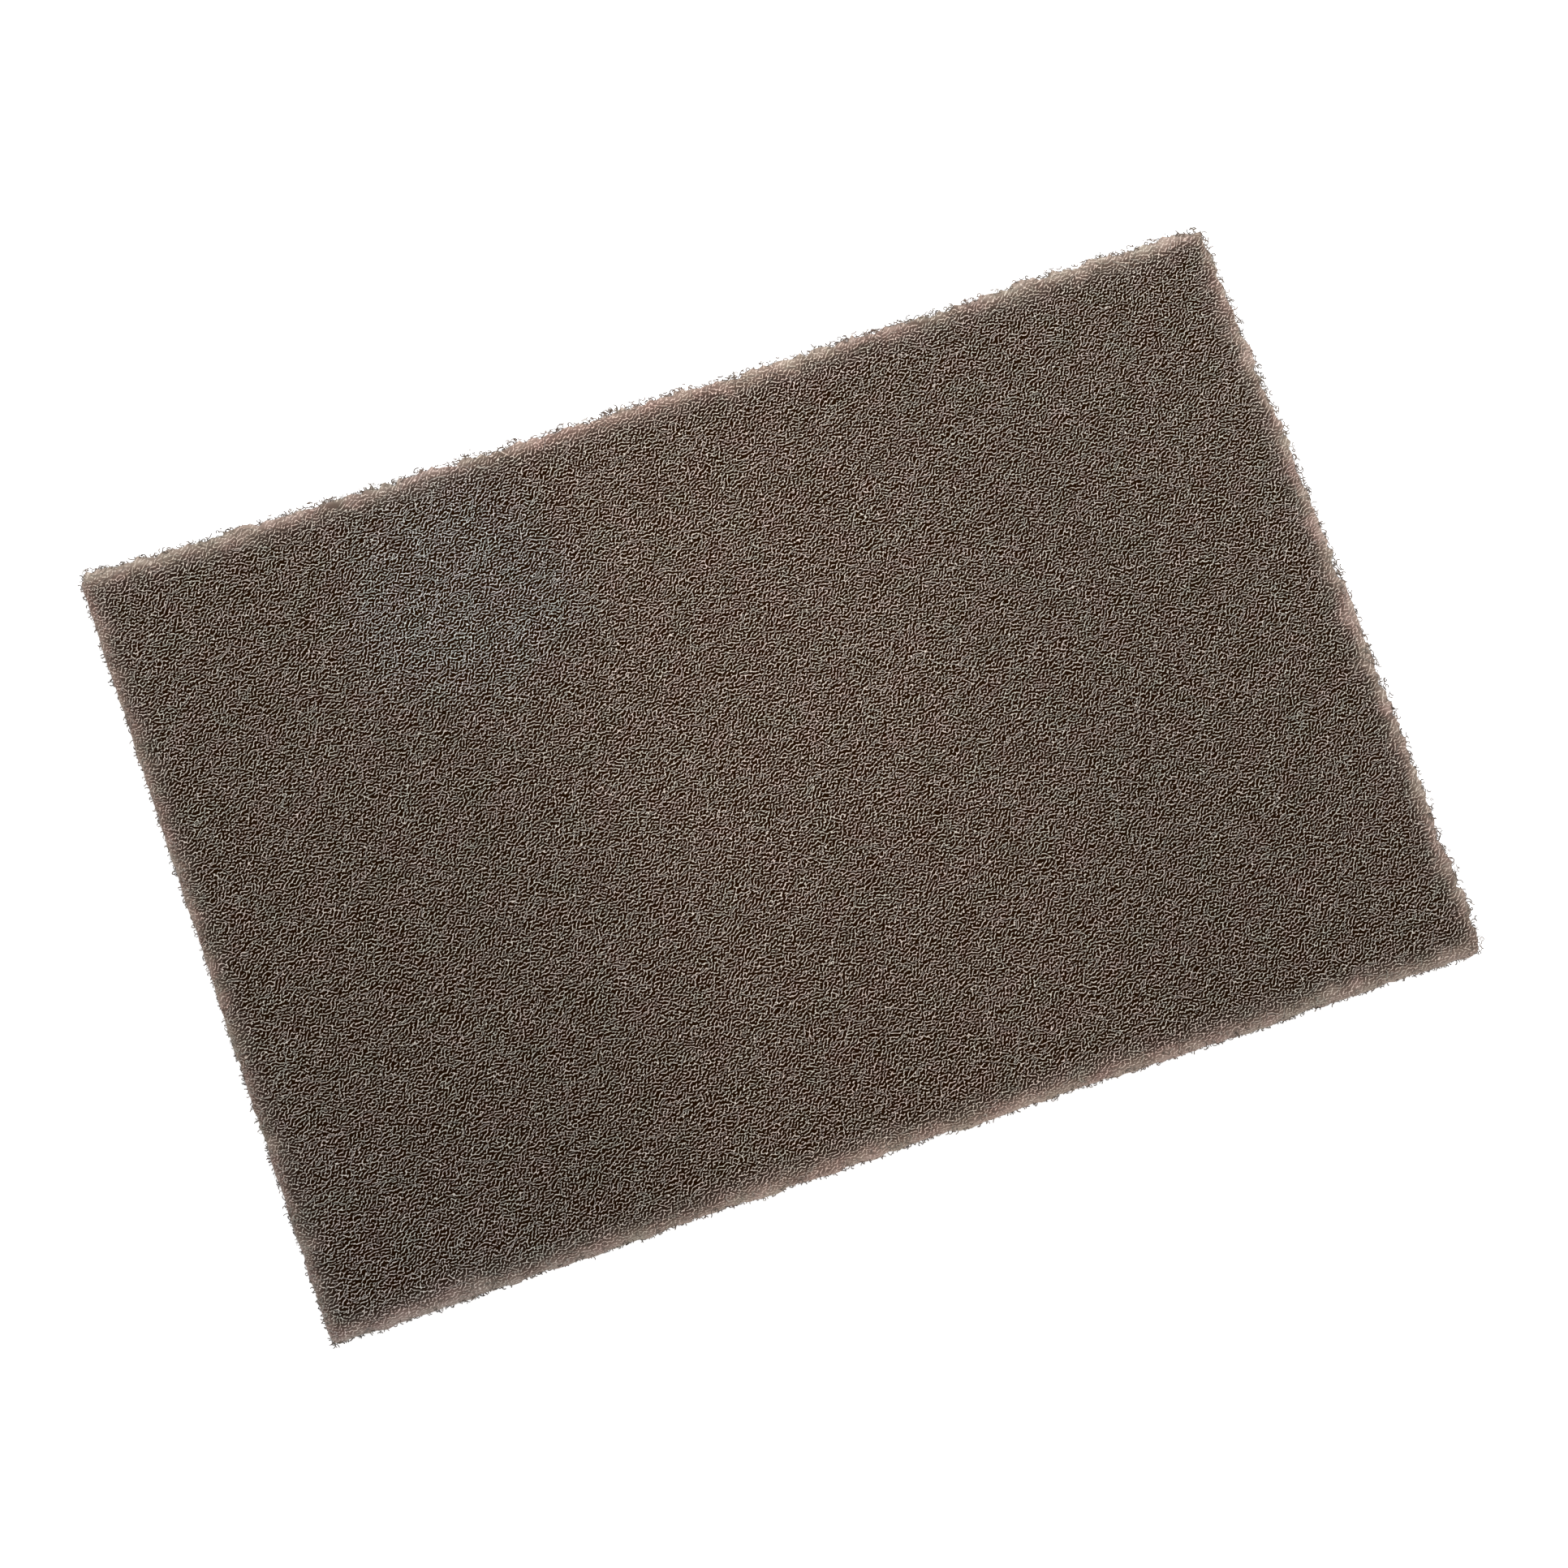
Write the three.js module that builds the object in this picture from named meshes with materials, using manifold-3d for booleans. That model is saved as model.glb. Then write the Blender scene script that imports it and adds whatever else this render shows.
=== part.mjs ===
// Abrasive hand pad: one piece of lofty non-woven fibre web, bonded with resin and grit and cut to a
// hand-sized rectangle, lying flat. Millimetres, +Z up, +X along the pad, origin under its middle.
// The upper face is a relief of tufts and hollows that thins towards the rim, where the blade pressed
// the web down, and each of the four cut sides has its own bow and raggedness.
import * as THREE from "three";
import { ImprovedNoise } from "three/addons/math/ImprovedNoise.js";
import { mergeVertices } from "three/addons/utils/BufferGeometryUtils.js";
import Module from "manifold-3d";

// The pad as cut, over its highest tufts
const LENGTH = 228.6;
const WIDTH = 152.4;
const THICKNESS = 6.35;
const CORNER_RADIUS = 1.4;

// The cut sides: a positive bow bulges outwards at mid-side, and the raggedness is how far the longest
// tufts of a side stand past its shortest
const SIDE_STEP = 2.1;
const TUFT_LENGTH = 5.2;
const LEFT_BOW = 0;
const LEFT_RAGGEDNESS = 0.3;
const RIGHT_BOW = 0.68;
const RIGHT_RAGGEDNESS = 0.65;
const FRONT_BOW = -0.4;
const FRONT_RAGGEDNESS = 0.65;
const BACK_BOW = -0.64;
const BACK_RAGGEDNESS = 1.0;

// The relief of the upper face, in depths below the highest tufts
const RELIEF_STEP = 2.9;
const TUFT_SPACING = 5.3;
const TUFT_DEPTH = 0.6;
const STRAND_SPACING = 3.1;
const STRAND_DEPTH = 0.5;
const SWELL_SPACING = 31;
const SWELL_DEPTH = 0.4;
const RIM_WIDTH = 4.5;
const RIM_DROP = 0.9;

// What the relief's cutter stands clear of the pad by
const CUTTER_MARGIN = 6;

// The wander of the web: how far its noise is stretched, and the slice of it that each feature reads
const CONTRAST = 0.8;
const SLICE = { right: 1.5, left: 2.5, back: 3.5, front: 4.5, tufts: 5.5, strands: 6.5, swell: 7.5 };
const noise = new ImprovedNoise();

// A share from 0 to 1 that wanders smoothly with the place
function wander(x, y, slice) {
  return THREE.MathUtils.clamp(0.5 + CONTRAST * noise.noise(x, y, slice), 0, 1);
}

// How far a cut side strays outwards at a place along it
function stray(along, half, bow, raggedness, slice) {
  const share = along / half;
  const tuft = wander(along / TUFT_LENGTH, 0, slice) - 0.5;
  return bow * (1 - share * share) + raggedness * tuft;
}

// A place on the outline moved by the strays of the sides that it lies on or, at a corner, between
function cutPoint(point) {
  const { x, y } = point;
  const nearEnd = THREE.MathUtils.smoothstep(Math.abs(x), LENGTH / 2 - CORNER_RADIUS, LENGTH / 2);
  const nearSide = THREE.MathUtils.smoothstep(Math.abs(y), WIDTH / 2 - CORNER_RADIUS, WIDTH / 2);
  const endStray =
    x > 0
      ? stray(y, WIDTH / 2, RIGHT_BOW, RIGHT_RAGGEDNESS, SLICE.right)
      : -stray(y, WIDTH / 2, LEFT_BOW, LEFT_RAGGEDNESS, SLICE.left);
  const sideStray =
    y > 0
      ? stray(x, LENGTH / 2, BACK_BOW, BACK_RAGGEDNESS, SLICE.back)
      : -stray(x, LENGTH / 2, FRONT_BOW, FRONT_RAGGEDNESS, SLICE.front);
  return new THREE.Vector2(x + nearEnd * endStray, y + nearSide * sideStray);
}

// The outline of the cut pad: a rectangle with small round corners, strayed along its sides
function padOutline() {
  const endX = LENGTH / 2 - CORNER_RADIUS;
  const sideY = WIDTH / 2 - CORNER_RADIUS;
  const quarter = Math.PI / 2;
  const rectangle = new THREE.Path();
  rectangle.absarc(endX, -sideY, CORNER_RADIUS, -quarter, 0);
  rectangle.absarc(endX, sideY, CORNER_RADIUS, 0, quarter);
  rectangle.absarc(-endX, sideY, CORNER_RADIUS, quarter, 2 * quarter);
  rectangle.absarc(-endX, -sideY, CORNER_RADIUS, 2 * quarter, 3 * quarter);
  rectangle.closePath();
  const count = Math.round(rectangle.getLength() / SIDE_STEP);
  const points = rectangle.getSpacedPoints(count).slice(0, count);
  return new THREE.Shape(points.map(cutPoint));
}

// The height of the upper face at a place: strands on tufts on a slow swell, thinned near the rim
function faceHeight(x, y) {
  const strands = STRAND_DEPTH * wander(x / STRAND_SPACING, y / STRAND_SPACING, SLICE.strands);
  const tufts = TUFT_DEPTH * wander(x / TUFT_SPACING, y / TUFT_SPACING, SLICE.tufts);
  const swell = SWELL_DEPTH * wander(x / SWELL_SPACING, y / SWELL_SPACING, SLICE.swell);
  const inward = Math.min(LENGTH / 2 - Math.abs(x), WIDTH / 2 - Math.abs(y));
  const rim = 1 - THREE.MathUtils.clamp(inward / RIM_WIDTH, 0, 1);
  return THICKNESS - strands - tufts - swell - RIM_DROP * rim * rim;
}

// The block above the pad whose lower face is the relief
function reliefCutter() {
  const length = LENGTH + 2 * CUTTER_MARGIN;
  const width = WIDTH + 2 * CUTTER_MARGIN;
  const across = Math.round(length / RELIEF_STEP);
  const up = Math.round(width / RELIEF_STEP);
  const block = new THREE.BoxGeometry(length, width, CUTTER_MARGIN, across, up, 1);
  block.translate(0, 0, THICKNESS + CUTTER_MARGIN / 2);
  const places = block.getAttribute("position");
  for (let i = 0; i < places.count; i += 1) {
    if (places.getZ(i) < THICKNESS + CUTTER_MARGIN / 2) {
      places.setZ(i, faceHeight(places.getX(i), places.getY(i)));
    }
  }
  return block;
}

const wasm = await Module();
wasm.setup();

// A closed three.js geometry as a solid that can be cut
function solidOf(geometry) {
  const bare = geometry.clone();
  bare.deleteAttribute("normal");
  bare.deleteAttribute("uv");
  const merged = mergeVertices(bare);
  return new wasm.Manifold(
    new wasm.Mesh({
      numProp: 3,
      vertProperties: new Float32Array(merged.getAttribute("position").array),
      triVerts: new Uint32Array(merged.getIndex().array),
    }),
  );
}

// A cut solid as a three.js geometry again
function geometryOf(solid) {
  const mesh = solid.getMesh();
  const geometry = new THREE.BufferGeometry();
  geometry.setAttribute("position", new THREE.BufferAttribute(new Float32Array(mesh.vertProperties), 3));
  geometry.setIndex(new THREE.BufferAttribute(new Uint32Array(mesh.triVerts), 1));
  geometry.computeVertexNormals();
  return geometry;
}

// The pad: its outline raised to full loft, with the relief cut into its upper face
function padGeometry() {
  const slab = new THREE.ExtrudeGeometry(padOutline(), { depth: THICKNESS, bevelEnabled: false });
  const geometry = geometryOf(solidOf(slab).subtract(solidOf(reliefCutter())));
  geometry.computeBoundingBox();
  const middle = geometry.boundingBox.getCenter(new THREE.Vector3());
  return geometry.translate(-middle.x, -middle.y, 0);
}

const web = new THREE.MeshStandardMaterial({ color: 0x6b6058, roughness: 0.9, metalness: 0 });
const pad = new THREE.Mesh(padGeometry(), web);
pad.name = "fibre_pad";

const handPad = new THREE.Group();
handPad.add(pad);

export default handPad;
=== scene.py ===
import math

import bmesh
import bpy
from mathutils import Matrix, Vector, noise


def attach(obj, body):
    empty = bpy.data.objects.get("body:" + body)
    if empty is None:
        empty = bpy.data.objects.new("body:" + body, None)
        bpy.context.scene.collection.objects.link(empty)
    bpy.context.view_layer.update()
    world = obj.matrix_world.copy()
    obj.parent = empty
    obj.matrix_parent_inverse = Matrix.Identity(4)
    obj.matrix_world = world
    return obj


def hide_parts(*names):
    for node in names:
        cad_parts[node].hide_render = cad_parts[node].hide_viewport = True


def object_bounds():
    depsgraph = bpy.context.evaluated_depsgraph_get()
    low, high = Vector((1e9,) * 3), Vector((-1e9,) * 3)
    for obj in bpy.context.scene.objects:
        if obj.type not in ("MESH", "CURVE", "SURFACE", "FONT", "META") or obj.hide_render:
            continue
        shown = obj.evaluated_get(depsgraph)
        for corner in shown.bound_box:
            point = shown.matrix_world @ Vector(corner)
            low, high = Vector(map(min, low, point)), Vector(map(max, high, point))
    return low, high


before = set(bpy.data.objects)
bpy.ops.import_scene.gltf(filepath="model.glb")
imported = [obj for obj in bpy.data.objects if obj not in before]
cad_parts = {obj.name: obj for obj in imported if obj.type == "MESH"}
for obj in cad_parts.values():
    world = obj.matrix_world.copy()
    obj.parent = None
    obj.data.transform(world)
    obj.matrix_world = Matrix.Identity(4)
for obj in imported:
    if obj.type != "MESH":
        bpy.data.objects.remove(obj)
cad_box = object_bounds()

# The heart of the pad: the dense middle of a non-woven web, crimped nylon fibres laid in layers and bonded
# with resin. It is too deep to show single strands, so it is one closed body just inside the solid, which
# ends in small tufts along the cut sides.
MM = 0.001
HEART_FACET = 1.1 * MM
HEART_INSET = 0.5 * MM
HEART_LUMP = 2.6 * MM
HEART_LUMP_HEIGHT = 0.3 * MM
HEART_TUFT = 1.4 * MM
WELD = 0.01 * MM
# For each side: which way it faces, how far the heart stays inside the solid, and how far its tufts stand
# out. Some sides are cut cleaner than others.
SIDES = {
    "Left": (Vector((-1, 0, 0)), 0.3 * MM, 0.15 * MM),
    "Right": (Vector((1, 0, 0)), 0.0 * MM, 1.3 * MM),
    "Front": (Vector((0, -1, 0)), -0.45 * MM, 0.4 * MM),
    "Back": (Vector((0, 1, 0)), 0.05 * MM, 1.5 * MM),
}
# The strands' lean across the pad, and the size of their curls and their distance apart in millimetres
LEAN = math.radians(20)
CURL = 0.9
PITCH = 0.65
# The places of a Mix node's two colours among its inputs, and of the mixed colour among its outputs
FIRST = 6
SECOND = 7
MIXED = 2
PAD_NODE = "fibre_pad"
pad_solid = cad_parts[PAD_NODE]


def linear(code):
    """A colour written as an sRGB hex code, in the linear values that shaders take."""
    shares = [int(code[i : i + 2], 16) / 255 for i in (1, 3, 5)]
    bent = [s / 12.92 if s <= 0.04045 else ((s + 0.055) / 1.055) ** 2.4 for s in shares]
    return (*bent, 1.0)


def add(tree, kind, inputs=None, **settings):
    """Adds a node to a tree with its settings, and fills inputs by name or place with values or links."""
    node = tree.nodes.new(kind)
    for name, value in settings.items():
        setattr(node, name, value)
    for socket, value in (inputs or {}).items():
        if isinstance(value, bpy.types.NodeSocket):
            tree.links.new(value, node.inputs[socket])
        else:
            node.inputs[socket].default_value = value
    return node


def per_metre(size_mm):
    """The scale of a texture whose pattern repeats about every size_mm."""
    return 1000 / size_mm


def plain_mesh(piece):
    """Turns what a piece's modifiers make into its own plain mesh."""
    graph = bpy.context.evaluated_depsgraph_get()
    mesh = bpy.data.meshes.new_from_object(piece.evaluated_get(graph))
    piece.modifiers.clear()
    piece.data = mesh
    return mesh


def web_heart():
    """A closed lumpy body that follows the solid, a little inside its faces and tufted along its sides."""
    shell = pad_solid.data.copy()
    shell.materials.clear()
    heart = bpy.data.objects.new("web_heart", shell)
    bpy.context.scene.collection.objects.link(heart)
    body = bmesh.new()
    body.from_mesh(shell)
    bmesh.ops.remove_doubles(body, verts=body.verts, dist=WELD)
    body.to_mesh(shell)
    body.free()
    remesh = heart.modifiers.new("even facets", "REMESH")
    remesh.mode = "VOXEL"
    remesh.voxel_size = HEART_FACET
    mesh = plain_mesh(heart)
    sunk = []
    for vertex in mesh.vertices:
        upright = 1 - abs(vertex.normal.z)
        rise = HEART_LUMP_HEIGHT * noise.noise(vertex.co / HEART_LUMP) - HEART_INSET * (1 - upright)
        tuft = noise.noise(vertex.co / HEART_TUFT)
        for facing, inset, tuft_height in SIDES.values():
            share = max(0, vertex.normal.dot(facing)) ** 2
            rise += (tuft_height * tuft - inset) * share
        sunk.append(vertex.co + vertex.normal * rise)
    for vertex, place in zip(mesh.vertices, sunk):
        vertex.co = place
    mesh.shade_smooth()
    return heart


# The rim along the cut sides, where light comes through the loose web: how far in it reaches, how fast it
# fades on the face and down the sides, the heights between which it turns from the one to the other, for
# each side where it starts inside the pad's box and how strong it is, and how far its line wavers
RIM_REACH = 9.0 * MM
RIM_FADE = 5.5
RIM_SIDE_FADE = 0.4
RIM_FACE_HEIGHT = 5.0 * MM
RIM_SIDE_HEIGHT = 3.5 * MM
RIM_LEFT = (-0.8 * MM, 0.99)
RIM_RIGHT = (0.2 * MM, 0.96)
RIM_FRONT = (-0.25 * MM, 0.95)
RIM_BACK = (1.05 * MM, 0.98)
RIM_WAVER = 2.4 * MM
RIM_WAVER_SIZE = 5.0
# Moves a noise, which runs from 0 to 1, to both sides of 0
TO_BOTH_SIDES = (-0.5, -0.5, -0.5)


def rim_share(tree):
    """How much of the rim's colour a place takes: most of it at the cut sides, and none further in."""
    place = add(tree, "ShaderNodeTexCoord").outputs["Object"]
    waver = add(
        tree,
        "ShaderNodeTexNoise",
        {"Vector": place, "Scale": per_metre(RIM_WAVER_SIZE), "Detail": 1.0},
    )
    waver = add(tree, "ShaderNodeVectorMath", {0: waver.outputs["Color"], 1: TO_BOTH_SIDES})
    moved = add(
        tree,
        "ShaderNodeVectorMath",
        {0: waver.outputs[0], 1: (RIM_WAVER, RIM_WAVER, RIM_WAVER), 2: place},
        operation="MULTIPLY_ADD",
    )
    axes = add(tree, "ShaderNodeSeparateXYZ", {0: moved.outputs[0]}).outputs
    share = 0.0
    for axis, edge, way, (start, most) in (
        ("X", cad_box[0][0], 1, RIM_LEFT),
        ("X", cad_box[1][0], -1, RIM_RIGHT),
        ("Y", cad_box[0][1], 1, RIM_FRONT),
        ("Y", cad_box[1][1], -1, RIM_BACK),
    ):
        side = add(
            tree,
            "ShaderNodeMapRange",
            {
                "Value": axes[axis],
                "From Min": edge + way * (start + RIM_REACH),
                "From Max": edge + way * start,
                "To Max": most,
            },
        )
        share = add(
            tree,
            "ShaderNodeMath",
            {0: side.outputs[0], 1: share},
            operation="MAXIMUM",
        ).outputs[0]
    fade = add(
        tree,
        "ShaderNodeMapRange",
        {
            "Value": axes["Z"],
            "From Min": RIM_FACE_HEIGHT,
            "From Max": RIM_SIDE_HEIGHT,
            "To Min": RIM_FADE,
            "To Max": RIM_SIDE_FADE,
        },
    )
    return add(tree, "ShaderNodeMath", {0: share, 1: fade.outputs[0]}, operation="POWER").outputs[0]


# Broad areas where grit and resin lie differently: the middle of each, its reach and its full part in
# millimetres, the weight of distances across the pad, which draws the area out that way when it is below 1,
# and the coat's tint there
AREAS = (
    ((4, 30), 66, 12, 0.3, "#FFF8F5"),
    ((6, -76), 70, 12, 0.8, "#EBE5E2"),
    ((-47, 51), 31, 13, 1.0, "#F2F7FD"),
    ((-108, -80), 68, 8, 1.0, "#D7D7D9"),
)
AREA_WAVER = 16 * MM
AREA_WAVER_SIZE = 24
# The blotches' size in millimetres, and which way and how far from the pad's middle the painted shade fades
BLOTCH_SIZE = 5.5
PAINTED_SHADE_HEADING = (0.28, 0.96, 0.0)
PAINTED_SHADE_REACH = 100 * MM
# The part of a noise's range that holds most of its values
NOISE_LOW = 0.3
NOISE_HIGH = 0.7


def mottled(tree, colour):
    """A colour with the web's slow changes on it: blotches of a few millimetres where grit or resin lies
    thicker, painted shade that darkens it towards the front left, away from the light, and broad areas with
    a tint of their own."""
    place = add(tree, "ShaderNodeTexCoord").outputs["Object"]
    blotch = add(
        tree,
        "ShaderNodeTexNoise",
        {"Vector": place, "Scale": per_metre(BLOTCH_SIZE), "Detail": 2.0},
    )
    blotch = add(
        tree,
        "ShaderNodeMapRange",
        {"Value": blotch.outputs["Fac"], "From Min": NOISE_LOW, "From Max": NOISE_HIGH},
    )
    hue = add(
        tree,
        "ShaderNodeMix",
        {0: blotch.outputs[0], FIRST: linear("#FFF6F4"), SECOND: linear("#F6FCF4")},
        data_type="RGBA",
    )
    toned = add(
        tree,
        "ShaderNodeMix",
        {0: 1.0, FIRST: colour, SECOND: hue.outputs[MIXED]},
        data_type="RGBA",
        blend_type="MULTIPLY",
    )
    # Painted shade: darker towards the front left and lighter towards the back right, where the light
    # stands
    towards = add(tree, "ShaderNodeVectorMath", {0: place, 1: PAINTED_SHADE_HEADING}, operation="DOT_PRODUCT")
    painted_shade_and_tints = add(
        tree,
        "ShaderNodeMapRange",
        {"Value": towards.outputs["Value"], "From Min": -PAINTED_SHADE_REACH, "From Max": PAINTED_SHADE_REACH},
    )
    painted_shade_and_tints = add(
        tree,
        "ShaderNodeMix",
        {0: painted_shade_and_tints.outputs[0], FIRST: linear("#D4D2D0"), SECOND: linear("#F8F5F3")},
        data_type="RGBA",
    )
    waver = add(
        tree,
        "ShaderNodeTexNoise",
        {"Vector": place, "Scale": per_metre(AREA_WAVER_SIZE), "Detail": 3.0},
    )
    waver = add(tree, "ShaderNodeVectorMath", {0: waver.outputs["Color"], 1: TO_BOTH_SIDES})
    moved = add(
        tree,
        "ShaderNodeVectorMath",
        {0: waver.outputs[0], 1: (AREA_WAVER, AREA_WAVER, 0.0), 2: place},
        operation="MULTIPLY_ADD",
    )
    for (x, y), reach, full, across, code in AREAS:
        away = add(
            tree,
            "ShaderNodeVectorMath",
            {0: moved.outputs[0], 1: (-x * MM, -y * MM, 0.0)},
        )
        away = add(
            tree,
            "ShaderNodeVectorMath",
            {0: away.outputs[0], 1: (1.0, across, 0.0)},
            operation="MULTIPLY",
        )
        away = add(tree, "ShaderNodeVectorMath", {0: away.outputs[0]}, operation="LENGTH")
        share = add(
            tree,
            "ShaderNodeMapRange",
            {"Value": away.outputs["Value"], "From Min": reach * MM, "From Max": full * MM},
            interpolation_type="SMOOTHSTEP",
        )
        painted_shade_and_tints = add(
            tree,
            "ShaderNodeMix",
            {0: share.outputs[0], FIRST: painted_shade_and_tints.outputs[MIXED], SECOND: linear(code)},
            data_type="RGBA",
        )
    return add(
        tree,
        "ShaderNodeMix",
        {0: 1.0, FIRST: toned.outputs[MIXED], SECOND: painted_shade_and_tints.outputs[MIXED]},
        data_type="RGBA",
        blend_type="MULTIPLY",
    ).outputs[MIXED]


def plain_material(name):
    """A new material with one plain shader, and that shader."""
    material = bpy.data.materials.new(name)
    material.use_nodes = True
    return material, material.node_tree.nodes["Principled BSDF"]


# The weave on the heart: the part of its wave that is strand and not gap, how lengthwise its strands run,
# the size in millimetres of the grit along them, and how much the grit dims or lights them
STRAND_LOW = 0.52
STRAND_HIGH = 1.0
LENGTHWISE = 0.35
GRIT_SIZE = 0.42
GRIT_LEAST = 0.78
GRIT_MOST = 1.27
# The share of the rim at which the light that comes through it is brownest
BROWNEST = 0.25


def deep_web_material():
    """Nylon fibres deep in the web, brown with resin and in the shade of those above: light taupe where a
    strand runs near the face, to almost black in the gaps. Near the cut sides light comes through, so the
    gaps there are pale."""
    material, shader = plain_material("resin-bonded nylon web")
    tree = material.node_tree
    place = add(tree, "ShaderNodeTexCoord").outputs["Object"]

    # Thin curled strands with dark gaps between, somewhat more of them along the lean of the web, drawn
    # about twice as coarse as the real ones, which are too fine to show. The slant keeps them from running
    # into streaks down the sides.
    axes = add(tree, "ShaderNodeSeparateXYZ", {0: place}).outputs
    slant = add(tree, "ShaderNodeCombineXYZ", {"X": axes["Z"], "Y": axes["Z"]})
    unrolled = add(tree, "ShaderNodeVectorMath", {0: place, 1: slant.outputs[0]})
    lines = add(
        tree,
        "ShaderNodeTexGabor",
        {
            "Vector": unrolled.outputs[0],
            "Scale": per_metre(CURL),
            "Frequency": CURL / PITCH,
            "Anisotropy": LENGTHWISE,
            "Orientation": LEAN + math.pi / 2,
        },
        gabor_type="2D",
    )
    wave = add(tree, "ShaderNodeMath", {0: lines.outputs["Phase"], 1: 2 * math.pi}, operation="MULTIPLY")
    wave = add(tree, "ShaderNodeMath", {0: wave.outputs[0]}, operation="SINE")
    weave = add(
        tree,
        "ShaderNodeMapRange",
        {"Value": wave.outputs[0], "From Min": STRAND_LOW, "From Max": STRAND_HIGH},
    ).outputs[0]
    grit = add(tree, "ShaderNodeTexNoise", {"Vector": place, "Scale": per_metre(GRIT_SIZE), "Detail": 0.0})
    grit = add(
        tree,
        "ShaderNodeMapRange",
        {
            "Value": grit.outputs["Fac"],
            "From Min": NOISE_LOW,
            "From Max": NOISE_HIGH,
            "To Min": GRIT_LEAST,
            "To Max": GRIT_MOST,
        },
    )
    weave = add(tree, "ShaderNodeMath", {0: weave, 1: grit.outputs[0]}, operation="MULTIPLY").outputs[0]
    inner = ((0.05, "#241306"), (0.36, "#4E311C"), (0.7, "#BAADA3"), (1.0, "#FCF7F2"))
    rim = ((0.0, "#C4B3AA"), (1.0, "#FCEEE6"))
    tones = []
    for shades in (inner, rim):
        tone = add(tree, "ShaderNodeValToRGB", {0: weave})
        ramp = tone.color_ramp.elements
        ramp.remove(ramp[1])
        for order, (position, code) in enumerate(shades):
            stop = ramp[0] if order == 0 else ramp.new(position)
            stop.position = position
            stop.color = linear(code)
        tones.append(tone.outputs["Color"])
    share = rim_share(tree)
    web = add(
        tree,
        "ShaderNodeMix",
        {0: share, FIRST: tones[0], SECOND: tones[1]},
        data_type="RGBA",
    )

    # Light that comes through the web is browner where it has come far, some way in from the cut
    inner_half = add(tree, "ShaderNodeMapRange", {"Value": share, "From Max": BROWNEST})
    outer_half = add(
        tree,
        "ShaderNodeMapRange",
        {"Value": share, "From Min": BROWNEST, "To Min": 1.0, "To Max": 0.0},
    )
    brown = add(
        tree,
        "ShaderNodeMath",
        {0: inner_half.outputs[0], 1: outer_half.outputs[0]},
        operation="MULTIPLY",
    )
    web = add(
        tree,
        "ShaderNodeMix",
        {0: brown.outputs[0], FIRST: web.outputs[MIXED], SECOND: linear("#FFF5F3")},
        data_type="RGBA",
        blend_type="MULTIPLY",
    )
    tree.links.new(mottled(tree, web.outputs[MIXED]), shader.inputs["Base Color"])
    shader.inputs["Roughness"].default_value = 0.8
    shader.inputs["Specular IOR Level"].default_value = 0.0
    return material


heart = web_heart()
heart.data.materials.append(deep_web_material())
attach(heart, "root")
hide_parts(PAD_NODE)


# The strands of the web: the nylon fibres themselves, coated with resin and grit and bonded where they
# cross. What shows of each is a short arc that rises out of the web, or a loop along the cut sides. They
# are drawn thicker and further apart than the real ones, which are too fine to show.
LENGTH_SPREAD = (0.7, 1.3)
ROOM = 3.0
# A face of the solid is a cut side if it looks up or down by less than this
UPRIGHT = 0.5
# Rays start a metre over the pad and end under it
RAY_START = (0.0, 0.0, 1.0)
RAY_LENGTH = 2.0


def crowding(tree, spacing):
    """More roots to a square metre than a spacing has room for, so that the spacing sets their number."""
    crowd = add(tree, "ShaderNodeMath", {0: spacing, 1: -2.0}, operation="POWER")
    return add(tree, "ShaderNodeMath", {0: crowd.outputs[0], 1: ROOM}, operation="MULTIPLY").outputs[0]


def face_root_tree():
    """Points spread evenly over a field about the pad's middle, all with one heading."""
    tree = bpy.data.node_groups.new("face roots", "GeometryNodeTree")
    tree.interface.new_socket("Geometry", in_out="OUTPUT", socket_type="NodeSocketGeometry")
    for name, kind in (
        ("Length", "NodeSocketFloat"),
        ("Width", "NodeSocketFloat"),
        ("Spacing", "NodeSocketFloat"),
        ("Heading", "NodeSocketFloat"),
        ("Seed", "NodeSocketInt"),
    ):
        tree.interface.new_socket(name, in_out="INPUT", socket_type=kind)
    given = add(tree, "NodeGroupInput").outputs
    field = add(
        tree,
        "GeometryNodeMeshGrid",
        {"Size X": given["Length"], "Size Y": given["Width"], "Vertices X": 2, "Vertices Y": 2},
    )
    spread = add(
        tree,
        "GeometryNodeDistributePointsOnFaces",
        {
            "Mesh": field.outputs["Mesh"],
            "Distance Min": given["Spacing"],
            "Density Max": crowding(tree, given["Spacing"]),
            "Seed": given["Seed"],
        },
        distribute_method="POISSON",
    )
    told = add(
        tree,
        "GeometryNodeStoreNamedAttribute",
        {"Geometry": spread.outputs["Points"], "Name": "heading", "Value": given["Heading"]},
    )
    add(tree, "NodeGroupOutput", {"Geometry": told.outputs[0]})
    return tree


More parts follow.
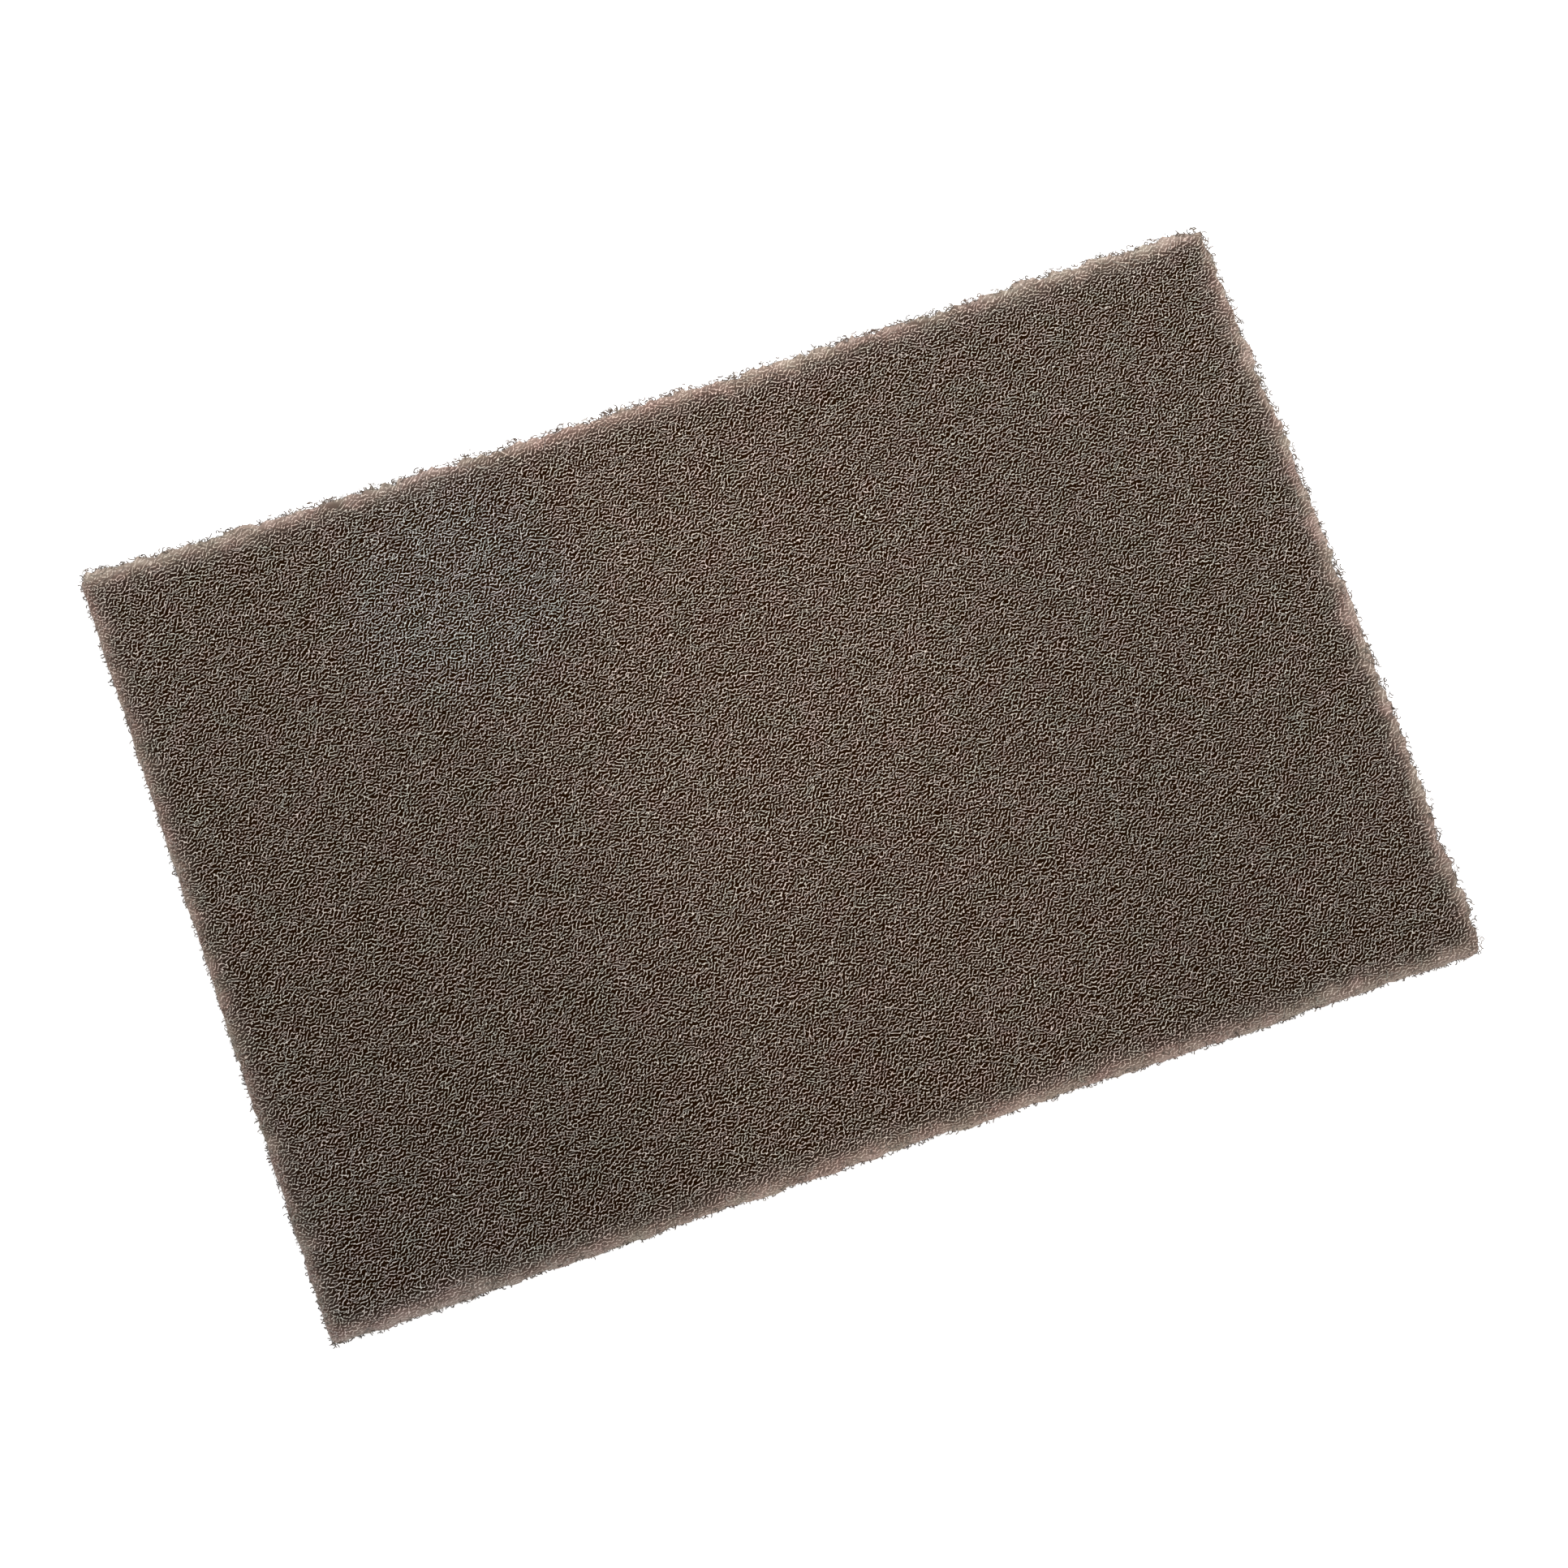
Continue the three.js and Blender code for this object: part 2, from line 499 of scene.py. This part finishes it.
def side_root_tree():
    """Points spread evenly over the cut sides of the solid and some way into or out of it, headed along the
    cut. Each side has its own least inset, because some are cut cleaner."""
    tree = bpy.data.node_groups.new("side roots", "GeometryNodeTree")
    tree.interface.new_socket("Geometry", in_out="OUTPUT", socket_type="NodeSocketGeometry")
    for name, kind in (
        ("Solid", "NodeSocketObject"),
        ("Spacing", "NodeSocketFloat"),
        ("Layer", "NodeSocketFloat"),
        *((side, "NodeSocketFloat") for side in SIDES),
        ("Seed", "NodeSocketInt"),
    ):
        tree.interface.new_socket(name, in_out="INPUT", socket_type=kind)
    given = add(tree, "NodeGroupInput").outputs
    solid = add(tree, "GeometryNodeObjectInfo", {"Object": given["Solid"]}).outputs["Geometry"]
    facing = add(tree, "ShaderNodeSeparateXYZ", {0: add(tree, "GeometryNodeInputNormal").outputs[0]})
    level = add(tree, "ShaderNodeMath", {0: facing.outputs["Z"]}, operation="ABSOLUTE")
    upright = add(tree, "FunctionNodeCompare", {0: level.outputs[0], 1: UPRIGHT}, operation="LESS_THAN")
    spread = add(
        tree,
        "GeometryNodeDistributePointsOnFaces",
        {
            "Mesh": solid,
            "Selection": upright.outputs[0],
            "Distance Min": given["Spacing"],
            "Density Max": crowding(tree, given["Spacing"]),
            "Seed": given["Seed"],
        },
        distribute_method="POISSON",
    )
    wall = add(tree, "ShaderNodeSeparateXYZ", {0: spread.outputs["Normal"]})
    backwards = add(tree, "ShaderNodeMath", {0: wall.outputs["X"], 1: -1.0}, operation="MULTIPLY")
    along = add(
        tree,
        "ShaderNodeMath",
        {0: backwards.outputs[0], 1: wall.outputs["Y"]},
        operation="ARCTAN2",
    )
    deep = add(tree, "FunctionNodeRandomValue", {3: given["Layer"], "Seed": given["Seed"]}).outputs[1]
    for side, (outwards, *_) in SIDES.items():
        share = add(
            tree,
            "ShaderNodeVectorMath",
            {0: spread.outputs["Normal"], 1: outwards},
            operation="DOT_PRODUCT",
        )
        share = add(tree, "ShaderNodeMath", {0: share.outputs["Value"], 1: 0.0}, operation="MAXIMUM")
        share = add(tree, "ShaderNodeMath", {0: share.outputs[0], 1: 2.0}, operation="POWER")
        deep = add(
            tree,
            "ShaderNodeMath",
            {0: share.outputs[0], 1: given[side], 2: deep},
            operation="MULTIPLY_ADD",
        ).outputs[0]
    inwards = add(tree, "ShaderNodeMath", {0: deep, 1: -1.0}, operation="MULTIPLY")
    inset = add(
        tree,
        "ShaderNodeVectorMath",
        {0: spread.outputs["Normal"], "Scale": inwards.outputs[0]},
        operation="SCALE",
    )
    told = add(
        tree,
        "GeometryNodeStoreNamedAttribute",
        {"Geometry": spread.outputs["Points"], "Name": "heading", "Value": along.outputs[0]},
    )
    placed = add(
        tree,
        "GeometryNodeSetPosition",
        {"Geometry": told.outputs[0], "Offset": inset.outputs[0]},
    )
    add(tree, "NodeGroupOutput", {"Geometry": placed.outputs[0]})
    return tree


def strand_tree():
    """A strand at each root: an arc about the root's heading, which rises to its own depth below the face
    at the middle and ends where the pad is cut."""
    tree = bpy.data.node_groups.new("web strands", "GeometryNodeTree")
    tree.interface.new_socket("Geometry", in_out="OUTPUT", socket_type="NodeSocketGeometry")
    for name, kind in (
        ("Roots", "NodeSocketGeometry"),
        ("Solid", "NodeSocketObject"),
        ("Points", "NodeSocketInt"),
        ("Length", "NodeSocketFloat"),
        ("Jitter", "NodeSocketFloat"),
        ("Least Curl", "NodeSocketFloat"),
        ("Most Curl", "NodeSocketFloat"),
        ("Upper", "NodeSocketFloat"),
        ("Shallowest", "NodeSocketFloat"),
        ("Deepest", "NodeSocketFloat"),
        ("Dive", "NodeSocketFloat"),
        ("Tilt", "NodeSocketFloat"),
        ("Thinnest", "NodeSocketFloat"),
        ("Thickest", "NodeSocketFloat"),
        ("Shortfall", "NodeSocketFloat"),
        ("Overhang", "NodeSocketFloat"),
        ("Seed", "NodeSocketInt"),
        ("Material", "NodeSocketMaterial"),
    ):
        tree.interface.new_socket(name, in_out="INPUT", socket_type=kind)
    given = add(tree, "NodeGroupInput").outputs

    # A curve at each root, with the same count of points
    copies = add(
        tree,
        "GeometryNodeDuplicateElements",
        {"Geometry": given["Roots"], "Amount": given["Points"]},
        domain="POINT",
    )
    index = add(tree, "GeometryNodeInputIndex").outputs[0]
    root = add(tree, "ShaderNodeMath", {0: index, 1: given["Points"]}, operation="DIVIDE")
    root = add(tree, "ShaderNodeMath", {0: root.outputs[0]}, operation="FLOOR")
    curves = add(
        tree,
        "GeometryNodePointsToCurves",
        {
            "Points": copies.outputs["Geometry"],
            "Curve Group ID": root.outputs[0],
            "Weight": copies.outputs["Duplicate Index"],
        },
    )
    of_curve = add(tree, "GeometryNodeCurveOfPoint").outputs

    def chance(low, high, draw):
        """A random value for each strand, the same at all its points."""
        seed = add(tree, "ShaderNodeMath", {0: given["Seed"], 1: draw})
        return add(
            tree,
            "FunctionNodeRandomValue",
            {2: low, 3: high, "ID": of_curve["Curve Index"], "Seed": seed.outputs[0]},
        ).outputs[1]

    # How far along the strand a point is, from -1 to 1, and where the arc puts it
    last = add(tree, "ShaderNodeMath", {0: given["Points"], 1: -1.0})
    along = add(
        tree,
        "ShaderNodeMapRange",
        {"Value": of_curve["Index in Curve"], "From Max": last.outputs[0], "To Min": -1.0},
    ).outputs[0]
    heading = add(tree, "GeometryNodeInputNamedAttribute", {"Name": "heading"}, data_type="FLOAT")
    heading = add(
        tree,
        "ShaderNodeMath",
        {0: chance(-1.0, 1.0, 1), 1: given["Jitter"], 2: heading.outputs["Attribute"]},
        operation="MULTIPLY_ADD",
    ).outputs[0]
    side = add(tree, "ShaderNodeMath", {0: chance(-1.0, 1.0, 2)}, operation="SIGN")
    curl = add(
        tree,
        "ShaderNodeMath",
        {0: chance(given["Least Curl"], given["Most Curl"], 3), 1: side.outputs[0]},
        operation="MULTIPLY",
    ).outputs[0]
    half = add(tree, "ShaderNodeMath", {0: curl, 1: 0.5}, operation="MULTIPLY")
    here = add(
        tree,
        "ShaderNodeMath",
        {0: half.outputs[0], 1: along, 2: heading},
        operation="MULTIPLY_ADD",
    ).outputs[0]
    ends = []
    for angle in (heading, here):
        sine = add(tree, "ShaderNodeMath", {0: angle}, operation="SINE")
        cosine = add(tree, "ShaderNodeMath", {0: angle}, operation="COSINE")
        cosine = add(tree, "ShaderNodeMath", {0: cosine.outputs[0], 1: -1.0}, operation="MULTIPLY")
        end = add(tree, "ShaderNodeCombineXYZ", {"X": sine.outputs[0], "Y": cosine.outputs[0]})
        ends.append(end.outputs[0])
    chord = add(tree, "ShaderNodeVectorMath", {0: ends[1], 1: ends[0]}, operation="SUBTRACT")
    length = add(
        tree,
        "ShaderNodeMath",
        {0: chance(*LENGTH_SPREAD, 4), 1: given["Length"]},
        operation="MULTIPLY",
    )
    radius = add(tree, "ShaderNodeMath", {0: length.outputs[0], 1: curl}, operation="DIVIDE")
    offset = add(
        tree,
        "ShaderNodeVectorMath",
        {0: chord.outputs[0], "Scale": radius.outputs[0]},
        operation="SCALE",
    )
    laid = add(
        tree,
        "GeometryNodeSetPosition",
        {"Geometry": curves.outputs[0], "Offset": offset.outputs[0]},
    )

    # The cut: where a ray from above no longer meets the solid, but for a little shortfall or overhang
    solid = add(tree, "GeometryNodeObjectInfo", {"Object": given["Solid"]}).outputs["Geometry"]
    place = add(tree, "GeometryNodeInputPosition").outputs[0]
    strayed = add(
        tree,
        "ShaderNodeVectorMath",
        {0: place, "Scale": chance(given["Overhang"], given["Shortfall"], 5)},
        operation="SCALE",
    )
    over = add(
        tree,
        "ShaderNodeVectorMath",
        {0: strayed.outputs[0], 1: (1.0, 1.0, 0.0), 2: RAY_START},
        operation="MULTIPLY_ADD",
    )
    ray = add(
        tree,
        "GeometryNodeRaycast",
        {
            "Target Geometry": solid,
            "Source Position": over.outputs[0],
            "Ray Direction": (0.0, 0.0, -1.0),
            "Ray Length": RAY_LENGTH,
        },
    )
    missed = add(tree, "FunctionNodeBooleanMath", {0: ray.outputs["Is Hit"]}, operation="NOT")

    # The rise: a depth below the face that is least at mid-strand, and never so deep as to reach the floor
    dip = add(tree, "ShaderNodeMath", {0: along, 1: along}, operation="MULTIPLY")
    depth = add(
        tree,
        "ShaderNodeMath",
        {0: dip.outputs[0], 1: given["Dive"], 2: chance(given["Shallowest"], given["Deepest"], 6)},
        operation="MULTIPLY_ADD",
    )
    slope = add(
        tree,
        "ShaderNodeMath",
        {0: chance(-1.0, 1.0, 7), 1: given["Tilt"]},
        operation="MULTIPLY",
    )
    depth = add(
        tree,
        "ShaderNodeMath",
        {0: slope.outputs[0], 1: along, 2: depth.outputs[0]},
        operation="MULTIPLY_ADD",
    )
    depth = add(
        tree,
        "ShaderNodeMath",
        {0: depth.outputs[0], 1: given["Shallowest"]},
        operation="MAXIMUM",
    )
    way = add(tree, "ShaderNodeMath", {0: given["Upper"], 1: -2.0, 2: 1.0}, operation="MULTIPLY_ADD")
    face = add(tree, "ShaderNodeSeparateXYZ", {0: ray.outputs["Hit Position"]})
    face = add(tree, "ShaderNodeMath", {0: face.outputs["Z"], 1: given["Upper"]}, operation="MULTIPLY")
    height = add(
        tree,
        "ShaderNodeMath",
        {0: depth.outputs[0], 1: way.outputs[0], 2: face.outputs[0]},
        operation="MULTIPLY_ADD",
    )
    height = add(
        tree,
        "ShaderNodeMath",
        {0: height.outputs[0], 1: given["Thickest"]},
        operation="MAXIMUM",
    )
    flat = add(tree, "ShaderNodeSeparateXYZ", {0: place})
    woven = add(
        tree,
        "ShaderNodeCombineXYZ",
        {"X": flat.outputs["X"], "Y": flat.outputs["Y"], "Z": height.outputs[0]},
    )
    stored = laid
    for name, value, kind in (
        ("tint", chance(0.0, 1.0, 8), "FLOAT"),
        ("thickness", chance(given["Thinnest"], given["Thickest"], 9), "FLOAT"),
        ("missed", missed.outputs[0], "BOOLEAN"),
    ):
        stored = add(
            tree,
            "GeometryNodeStoreNamedAttribute",
            {"Geometry": stored.outputs[0], "Name": name, "Value": value},
            data_type=kind,
            domain="POINT",
        )
    moved = add(
        tree,
        "GeometryNodeSetPosition",
        {"Geometry": stored.outputs[0], "Position": woven.outputs[0]},
    )
    was_missed = add(tree, "GeometryNodeInputNamedAttribute", {"Name": "missed"}, data_type="BOOLEAN")
    cut = add(
        tree,
        "GeometryNodeDeleteGeometry",
        {"Geometry": moved.outputs[0], "Selection": was_missed.outputs[0]},
        domain="POINT",
    )
    count = add(tree, "GeometryNodeSplineLength")
    stubs = add(
        tree,
        "FunctionNodeCompare",
        {2: count.outputs["Point Count"], 3: 2},
        data_type="INT",
        operation="LESS_THAN",
    )
    whole = add(
        tree,
        "GeometryNodeDeleteGeometry",
        {"Geometry": cut.outputs[0], "Selection": stubs.outputs[0]},
        domain="CURVE",
    )

    # The strand's body: three-sided, closed at both ends and shaded round
    section = add(tree, "GeometryNodeCurvePrimitiveCircle", {"Resolution": 3, "Radius": 0.5})
    thickness = add(tree, "GeometryNodeInputNamedAttribute", {"Name": "thickness"}, data_type="FLOAT")
    tube = add(
        tree,
        "GeometryNodeCurveToMesh",
        {
            "Curve": whole.outputs[0],
            "Profile Curve": section.outputs[0],
            "Scale": thickness.outputs["Attribute"],
            "Fill Caps": True,
        },
    )
    smooth = add(tree, "GeometryNodeSetShadeSmooth", {"Geometry": tube.outputs[0]})
    real = add(tree, "GeometryNodeRealizeInstances", {"Geometry": smooth.outputs[0]})
    painted = add(
        tree,
        "GeometryNodeSetMaterial",
        {"Geometry": real.outputs[0], "Material": given["Material"]},
    )
    add(tree, "NodeGroupOutput", {"Geometry": painted.outputs[0]})
    return tree


def strand_material():
    """Crimped nylon coated with resin and fine grit: matte taupe with a weak shine where resin shows.
    Strands differ in colour, and those at the cut sides are darker, seen against the light."""
    material, shader = plain_material("grit-coated taupe nylon")
    tree = material.node_tree
    tint = add(tree, "ShaderNodeAttribute", attribute_name="tint").outputs["Fac"]
    on_face = add(
        tree,
        "ShaderNodeMix",
        {0: tint, FIRST: linear("#8E7D71"), SECOND: linear("#DED7D1")},
        data_type="RGBA",
    )
    at_rim = add(
        tree,
        "ShaderNodeMix",
        {0: tint, FIRST: linear("#4E4037"), SECOND: linear("#A29288")},
        data_type="RGBA",
    )
    strand = add(
        tree,
        "ShaderNodeMix",
        {0: rim_share(tree), FIRST: on_face.outputs[MIXED], SECOND: at_rim.outputs[MIXED]},
        data_type="RGBA",
    )
    tree.links.new(mottled(tree, strand.outputs[MIXED]), shader.inputs["Base Color"])
    shader.inputs["Roughness"].default_value = 0.55
    return material


face_roots = face_root_tree()
side_roots = side_root_tree()
strand_nodes = strand_tree()
strand_finish = strand_material()


def strands(name, roots, root_sizes, strand_sizes):
    """A piece of strands, as a plain mesh that rides with the pad."""
    piece = bpy.data.objects.new(name, bpy.data.meshes.new(name))
    bpy.context.scene.collection.objects.link(piece)
    for tree, sizes in ((roots, root_sizes), (strand_nodes, strand_sizes)):
        modifier = piece.modifiers.new(tree.name, "NODES")
        modifier.node_group = tree
        given = {"Solid": pad_solid, "Material": strand_finish, **sizes}
        for item in tree.interface.items_tree:
            if item.in_out == "INPUT" and item.name in given:
                modifier[item.identifier] = given[item.name]
    plain_mesh(piece)
    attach(piece, "root")


# A strand of the face, which the others are changed from, and the field that its roots are spread over, a
# little larger than the pad
STRAND = {
    "Points": 5,
    "Length": 3.0 * MM,
    "Jitter": 1.0,
    "Least Curl": 0.5,
    "Most Curl": 2.2,
    "Upper": 1.0,
    "Shallowest": 0.08 * MM,
    "Deepest": 0.3 * MM,
    "Dive": 0.35 * MM,
    "Tilt": 0.0,
    "Thinnest": 0.1 * MM,
    "Thickest": 0.13 * MM,
    "Shortfall": 1.002,
    "Overhang": 0.995,
}
FACE_FIELD = {"Length": 232 * MM, "Width": 156 * MM, "Heading": LEAN}
strands(
    "face_strands",
    face_roots,
    {**FACE_FIELD, "Spacing": 1.7 * MM, "Seed": 11},
    {**STRAND, "Seed": 100},
)
strands(
    "side_strands",
    side_roots,
    {
        "Spacing": 0.66 * MM,
        "Layer": 1.5 * MM,
        "Left": 0.15 * MM,
        "Right": -0.9 * MM,
        "Front": -0.65 * MM,
        "Back": -1.05 * MM,
        "Seed": 71,
    },
    {
        **STRAND,
        "Points": 7,
        "Length": 1.6 * MM,
        "Jitter": math.pi,
        "Least Curl": 1.5,
        "Most Curl": 5.5,
        "Thinnest": 0.17 * MM,
        "Thickest": 0.25 * MM,
        "Shallowest": 0.3 * MM,
        "Deepest": 5.6 * MM,
        "Dive": 0.1 * MM,
        "Tilt": 0.5 * MM,
        "Shortfall": 0.99,
        "Overhang": 0.985,
        "Seed": 700,
    },
)
strands(
    "under_strands",
    face_roots,
    {**FACE_FIELD, "Spacing": 3.2 * MM, "Seed": 91},
    {**STRAND, "Upper": 0.0, "Seed": 900},
)


# The studio: a floor of white paper that the pad lies on, even light from all round, a broad soft light
# high over the back right, and the photograph's camera. The floor just clears the lowest tufts.
FLOOR_HALF = 4.0
FLOOR_HEIGHT = -0.2 * MM
FLOOR_LIFT = 0.7


def floor():
    """A sheet of paper that looks white to the camera and keeps the pad's shadow."""
    mesh = bpy.data.meshes.new("floor")
    ways = ((-1, -1), (1, -1), (1, 1), (-1, 1))
    corners = [(x * FLOOR_HALF, y * FLOOR_HALF, FLOOR_HEIGHT) for x, y in ways]
    mesh.from_pydata(corners, [], [(0, 1, 2, 3)])
    piece = bpy.data.objects.new("floor", mesh)
    bpy.context.scene.collection.objects.link(piece)
    material, shader = plain_material("white paper")
    tree = material.node_tree
    shader.inputs["Base Color"].default_value = linear("#F4F4F4")
    shader.inputs["Roughness"].default_value = 0.9
    seen = add(tree, "ShaderNodeLightPath").outputs
    first = add(
        tree,
        "ShaderNodeMath",
        {0: seen["Is Camera Ray"], 1: seen["Is Glossy Ray"]},
        operation="MAXIMUM",
    )
    first = add(
        tree,
        "ShaderNodeMath",
        {0: first.outputs[0], 1: seen["Is Transmission Ray"]},
        operation="MAXIMUM",
    )
    lift = add(tree, "ShaderNodeMath", {0: first.outputs[0], 1: FLOOR_LIFT}, operation="MULTIPLY")
    glow = add(tree, "ShaderNodeEmission", {"Strength": lift.outputs[0]})
    both = add(tree, "ShaderNodeAddShader", {0: shader.outputs[0], 1: glow.outputs[0]})
    tree.links.new(both.outputs[0], tree.nodes["Material Output"].inputs["Surface"])
    mesh.materials.append(material)


floor()
AMBIENT = 0.65
world = bpy.data.worlds.new("studio")
world.use_nodes = True
bpy.context.scene.world = world
seen = add(world.node_tree, "ShaderNodeLightPath").outputs
level = add(
    world.node_tree,
    "ShaderNodeMapRange",
    {"Value": seen["Is Camera Ray"], "To Min": AMBIENT},
)
background = world.node_tree.nodes["Background"]
background.inputs["Color"].default_value = linear("#FFFFFF")
world.node_tree.links.new(level.outputs[0], background.inputs["Strength"])

KEY_PLACE = Vector((0.3, 0.4, 0.9))
KEY_SIZE = 0.7
KEY_WATTS = 4.9
key = bpy.data.lights.new("overhead softbox", "AREA")
key.shape = "RECTANGLE"
key.size = KEY_SIZE
key.size_y = KEY_SIZE
key.energy = KEY_WATTS
lamp = bpy.data.objects.new("overhead softbox", key)
bpy.context.scene.collection.objects.link(lamp)
lamp.location = KEY_PLACE
lamp.rotation_euler = (-KEY_PLACE).to_track_quat("-Z", "Y").to_euler()

EYE = Vector((-123.1, -165.7, 808.0)) * MM
AIM = Vector((-1.6, -4.4, 6.0)) * MM
ROLL = math.radians(18.0)
LENS = 100.8
SENSOR = 36.0
view = bpy.data.cameras.new("photograph")
view.sensor_width = SENSOR
view.lens = LENS
camera = bpy.data.objects.new("photograph", view)
bpy.context.scene.collection.objects.link(camera)
turn = (AIM - EYE).to_track_quat("-Z", "Y").to_matrix().to_4x4()
camera.matrix_world = Matrix.Translation(EYE) @ turn @ Matrix.Rotation(ROLL, 4, "Z")
bpy.context.scene.camera = camera
bpy.context.scene.view_settings.view_transform = "Standard"
